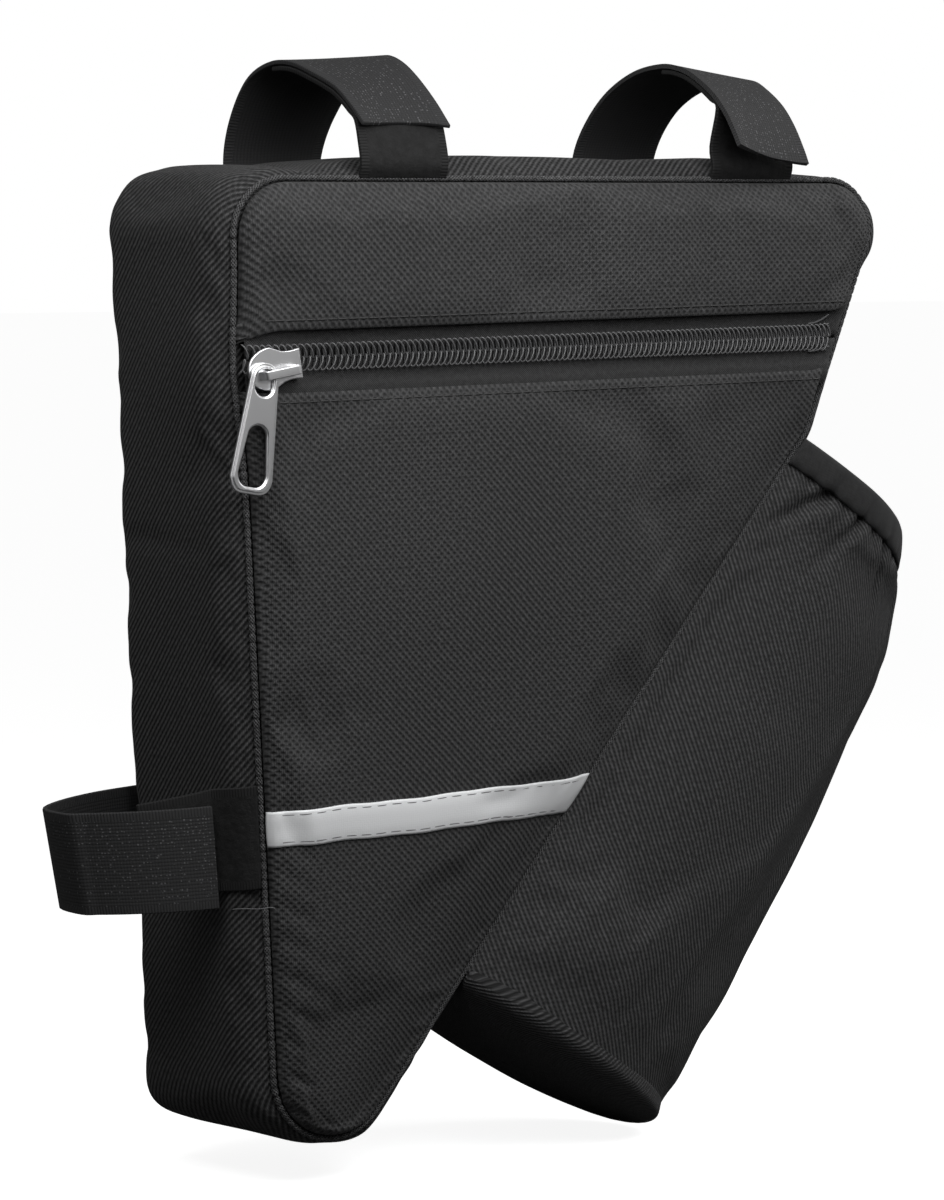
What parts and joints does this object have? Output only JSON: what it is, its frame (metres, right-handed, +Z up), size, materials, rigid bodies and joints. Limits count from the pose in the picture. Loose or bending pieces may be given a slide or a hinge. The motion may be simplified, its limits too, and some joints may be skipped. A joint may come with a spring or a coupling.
{
  "type": "bike frame bag",
  "caption": "Triangular padded bag that hangs in a bicycle frame from hook-and-loop straps, with a zip across its front and a gathered bottle pocket on its slanting side.",
  "frame": {"origin": "centre of the flat crown of the top gusset, where the frame's top tube rests", "axes": "+Z up, +X along the top tube towards the front of the bicycle, -Y out of the zipped face"},
  "size_m": [0.2487, 0.0749, 0.2746],
  "materials": {
    "panel_fabric": "matte twill",
    "gusset_fabric": "matte twill with diagonal ribs",
    "binding_fabric": "matte woven binding",
    "hook_webbing": "woven back of a hook-and-loop strap",
    "loop_webbing": "soft loop pile",
    "zip_tape": "matte woven tape",
    "zip_coil": "moulded nylon",
    "zip_metal": "brushed nickel plate",
    "reflective_tape": "silver reflective tape",
    "elastic": "woven elastic",
    "foam": "closed-cell foam"
  },
  "bodies": {
    "bag": {"back_foam": "foam", "back_panel": "panel_fabric", "back_welt": "gusset_fabric", "diagonal_band": "gusset_fabric", "diagonal_foam": "foam", "front_foam_lower": "foam", "front_foam_upper": "foam", "front_panel_lower": "panel_fabric", "front_panel_upper": "panel_fabric", "front_welt": "gusset_fabric", "gusset_band": "gusset_fabric", "gusset_foam": "foam", "pocket_base": "gusset_fabric", "pocket_binding": "binding_fabric", "pocket_elastic": "elastic", "pocket_sleeve": "gusset_fabric", "reflective_strip": "reflective_tape", "side_strap_loop": "loop_webbing", "top_left_strap_loop": "loop_webbing", "top_right_strap_loop": "loop_webbing", "zipper_coil_lower": "zip_coil", "zipper_coil_upper": "zip_coil", "zipper_tape_lower": "zip_tape", "zipper_tape_upper": "zip_tape"},
    "slider": {"zipper_slider": "zip_metal"},
    "pull": {"zipper_pull": "zip_metal"},
    "top_left_strap": {"top_left_strap_hook": "hook_webbing"},
    "top_right_strap": {"top_right_strap_hook": "hook_webbing"},
    "side_strap": {"side_strap_hook": "hook_webbing"}
  },
  "joints": [
    {"name": "zipper_slide", "type": "slide", "parent": "bag", "child": "slider", "axis": [0.9998, 0, 0.0175], "range_m": [0, 0.158]},
    {"name": "pull_swing", "type": "hinge", "parent": "slider", "child": "pull", "pos_m": [-0.09311, -0.03505, -0.05185], "axis": [0, 1, 0], "range_deg": [-50, 65]},
    {"name": "top_left_strap_open", "type": "hinge", "parent": "bag", "child": "top_left_strap", "pos_m": [-0.0501, 0.03, -0.00295], "axis": [-1, 0, 0], "range_deg": [0, 95]},
    {"name": "top_right_strap_open", "type": "hinge", "parent": "bag", "child": "top_right_strap", "pos_m": [0.0545, 0.03, -0.00295], "axis": [-1, 0, 0], "range_deg": [0, 95]},
    {"name": "side_strap_open", "type": "hinge", "parent": "bag", "child": "side_strap", "pos_m": [-0.09269, 0.029, -0.16759], "axis": [0.0453, 0, -0.999], "range_deg": [0, 100]}
  ]
}
